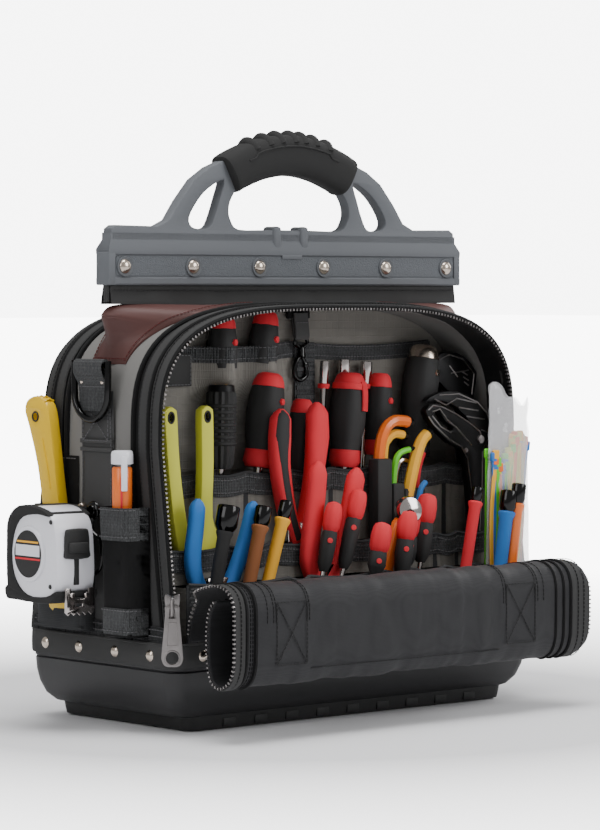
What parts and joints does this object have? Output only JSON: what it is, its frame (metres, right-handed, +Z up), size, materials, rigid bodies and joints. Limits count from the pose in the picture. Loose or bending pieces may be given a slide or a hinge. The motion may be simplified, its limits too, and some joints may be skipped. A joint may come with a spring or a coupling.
{
  "type": "electrician tool pouch",
  "caption": "Tall two-sided fabric tool pouch with a riveted bar handle, moulded base, rolled-down front, tiered pockets and the hand tools it carries.",
  "frame": {"origin": "ground level, under the middle of the moulded foot", "axes": "+X along the bag to the viewer's right when facing its open front, -Y out of the open front, +Z up"},
  "size_m": [0.4362, 0.2508, 0.432],
  "materials": {
    "moulded_plastic": "satin black moulded plastic",
    "leatherette": "matt black coated fabric",
    "handle_plastic": "satin blue-grey moulded plastic with a fine grain",
    "grip_rubber": "ribbed soft black rubber",
    "black_nylon": "smooth black coated nylon",
    "ripstop": "taupe-grey woven nylon",
    "zip_tape": "black mesh tape with coil teeth",
    "webbing": "ribbed charcoal webbing",
    "black_metal": "black-plated steel wire",
    "leather": "oxblood brown grained leather",
    "steel": "antique nickel",
    "tool_black": "satin black handle plastic",
    "tool_red": "satin red handle plastic",
    "tool_brown": "brown insulation",
    "tool_amber": "amber insulation",
    "tool_lime": "lime-yellow dipped handles",
    "tool_blue": "blue dipped handles",
    "tool_orange": "orange pen body",
    "knife_yellow": "yellow knife body",
    "tape_white": "white case with black overmould",
    "clear_film": "thin clear plastic bag"
  },
  "bodies": {
    "pouch": {"base_tray": "moulded_plastic", "base_band": "leatherette", "centre_panel": "black_nylon", "front_gusset": "ripstop", "rear_gusset": "ripstop", "front_zip_band": "zip_tape", "rear_zip_band": "zip_tape", "rear_pocket_panel": "ripstop", "front_door": "black_nylon", "handle_frame": "handle_plastic", "handle_grip": "grip_rubber", "handle_rivet_1": "steel", "handle_rivet_2": "steel", "handle_rivet_3": "steel", "handle_rivet_4": "steel", "handle_rivet_5": "steel", "handle_rivet_6": "steel", "left_strap": "webbing", "right_strap": "webbing", "left_ring_tab": "webbing", "right_ring_tab": "webbing", "left_leather": "leather", "right_leather": "leather", "pocket_row_back": "ripstop", "pocket_row_middle": "ripstop", "pocket_row_front": "ripstop", "left_knife_pocket": "ripstop", "left_pen_pocket": "ripstop", "right_side_pocket": "ripstop", "wall_pocket": "ripstop", "key_strap": "webbing"},
    "rear_door": {"rear_door": "black_nylon"},
    "front_slider": {"front_slider": "steel"},
    "front_pull": {"front_pull": "steel"},
    "rear_slider": {"rear_slider": "steel"},
    "rear_pull": {"rear_pull": "steel"},
    "left_dring": {"left_dring": "black_metal"},
    "right_dring": {"right_dring": "black_metal"},
    "key_hook": {"key_hook": "black_metal"},
    "driver_knurled": {"driver_knurled": "tool_black"},
    "driver_large": {"driver_large": "tool_black"},
    "ratchet_driver": {"ratchet_driver": "tool_red"},
    "driver_silver_cap": {"driver_silver_cap": "tool_black"},
    "nut_driver_black": {"nut_driver_black": "tool_black"},
    "nut_driver_brown": {"nut_driver_brown": "tool_brown"},
    "nut_driver_yellow": {"nut_driver_yellow": "tool_amber"},
    "insulated_driver_1": {"insulated_driver_1": "tool_red"},
    "insulated_driver_2": {"insulated_driver_2": "tool_red"},
    "insulated_driver_3": {"insulated_driver_3": "tool_red"},
    "wire_stripper": {"wire_stripper": "tool_lime"},
    "pliers_long": {"pliers_long": "tool_red"},
    "cutters": {"cutters": "tool_red"},
    "pliers_blue": {"pliers_blue": "tool_blue"},
    "pliers_wrench": {"pliers_wrench": "tool_black"},
    "hex_key_set": {"hex_key_set": "tool_black"},
    "cable_tie_bag": {"cable_tie_bag": "clear_film"},
    "tape_measure": {"tape_measure": "tape_white"},
    "marker_pen": {"marker_pen": "tool_orange"},
    "utility_knife": {"utility_knife": "knife_yellow"}
  },
  "joints": [
    {"name": "rear_door_hinge", "type": "hinge", "parent": "pouch", "child": "rear_door", "pos_m": [0, 0.085, 0.0664], "axis": [-1, 0, 0], "range_deg": [0, 95]},
    {"name": "front_zip", "type": "slide", "parent": "pouch", "child": "front_slider", "axis": [0, 0.124, 0.9923], "range_m": [0, 0.1]},
    {"name": "front_pull_swing", "type": "hinge", "parent": "front_slider", "child": "front_pull", "pos_m": [-0.18596, -0.09152, 0.092], "axis": [-0.766, 0.6428, 0], "range_deg": [0, 160]},
    {"name": "rear_zip", "type": "slide", "parent": "pouch", "child": "rear_slider", "axis": [0, -0.124, 0.9923], "range_m": [0, 0.1]},
    {"name": "rear_pull_swing", "type": "hinge", "parent": "rear_slider", "child": "rear_pull", "pos_m": [0.18796, 0.09152, 0.092], "axis": [0.766, -0.6428, 0], "range_deg": [0, 160]},
    {"name": "left_ring_swing", "type": "hinge", "parent": "pouch", "child": "left_dring", "pos_m": [-0.1861, 0, 0.261], "axis": [0, 1, 0], "range_deg": [0, 140]},
    {"name": "right_ring_swing", "type": "hinge", "parent": "pouch", "child": "right_dring", "pos_m": [0.1861, 0, 0.261], "axis": [0, -1, 0], "range_deg": [0, 140]},
    {"name": "key_hook_swing", "type": "hinge", "parent": "pouch", "child": "key_hook", "pos_m": [0.007, -0.0095, 0.278], "axis": [0, 1, 0], "range_deg": [-12, 12]},
    {"name": "driver_knurled_lift", "type": "slide", "parent": "pouch", "child": "driver_knurled", "axis": [0.02, 0, 0.9998], "range_m": [0, 0.045]},
    {"name": "driver_large_lift", "type": "slide", "parent": "pouch", "child": "driver_large", "axis": [0.158, 0, 0.9874], "range_m": [0, 0.036]},
    {"name": "ratchet_driver_lift", "type": "slide", "parent": "pouch", "child": "ratchet_driver", "axis": [0.0896, 0, 0.996], "range_m": [0, 0.036]},
    {"name": "driver_silver_cap_lift", "type": "slide", "parent": "pouch", "child": "driver_silver_cap", "axis": [0.158, 0, 0.9874], "range_m": [0, 0.015]},
    {"name": "nut_driver_black_lift", "type": "slide", "parent": "pouch", "child": "nut_driver_black", "axis": [0.2149, 0, 0.9766], "range_m": [0, 0.1]},
    {"name": "nut_driver_brown_lift", "type": "slide", "parent": "pouch", "child": "nut_driver_brown", "axis": [0.2516, 0, 0.9678], "range_m": [0, 0.1]},
    {"name": "nut_driver_yellow_lift", "type": "slide", "parent": "pouch", "child": "nut_driver_yellow", "axis": [0.3048, 0, 0.9524], "range_m": [0, 0.1]},
    {"name": "insulated_driver_1_lift", "type": "slide", "parent": "pouch", "child": "insulated_driver_1", "axis": [0.2241, 0, 0.9746], "range_m": [0, 0.1]},
    {"name": "insulated_driver_2_lift", "type": "slide", "parent": "pouch", "child": "insulated_driver_2", "axis": [0.2785, 0, 0.9604], "range_m": [0, 0.1]},
    {"name": "insulated_driver_3_lift", "type": "slide", "parent": "pouch", "child": "insulated_driver_3", "axis": [0.1386, 0, 0.9903], "range_m": [0, 0.1]},
    {"name": "wire_stripper_lift", "type": "slide", "parent": "pouch", "child": "wire_stripper", "axis": [0, 0, 1], "range_m": [0, 0.035]},
    {"name": "pliers_long_lift", "type": "slide", "parent": "pouch", "child": "pliers_long", "axis": [0, 0, 1], "range_m": [0, 0.06]},
    {"name": "cutters_lift", "type": "slide", "parent": "pouch", "child": "cutters", "axis": [0, 0, 1], "range_m": [0, 0.1]},
    {"name": "pliers_blue_lift", "type": "slide", "parent": "pouch", "child": "pliers_blue", "axis": [0, 0, 1], "range_m": [0, 0.1]},
    {"name": "pliers_wrench_lift", "type": "slide", "parent": "pouch", "child": "pliers_wrench", "axis": [0, 0, 1], "range_m": [0, 0.02]},
    {"name": "hex_key_set_lift", "type": "slide", "parent": "pouch", "child": "hex_key_set", "axis": [0, 0, 1], "range_m": [0, 0.08]},
    {"name": "cable_tie_bag_lift", "type": "slide", "parent": "pouch", "child": "cable_tie_bag", "axis": [0, 0, 1], "range_m": [0, 0.05]},
    {"name": "tape_measure_lift", "type": "slide", "parent": "pouch", "child": "tape_measure", "axis": [0, 0, 1], "range_m": [0, 0.06]},
    {"name": "marker_pen_lift", "type": "slide", "parent": "pouch", "child": "marker_pen", "axis": [0, 0, 1], "range_m": [0, 0.13]},
    {"name": "utility_knife_lift", "type": "slide", "parent": "pouch", "child": "utility_knife", "axis": [0, 0.1867, 0.9824], "range_m": [0, 0.13]}
  ]
}
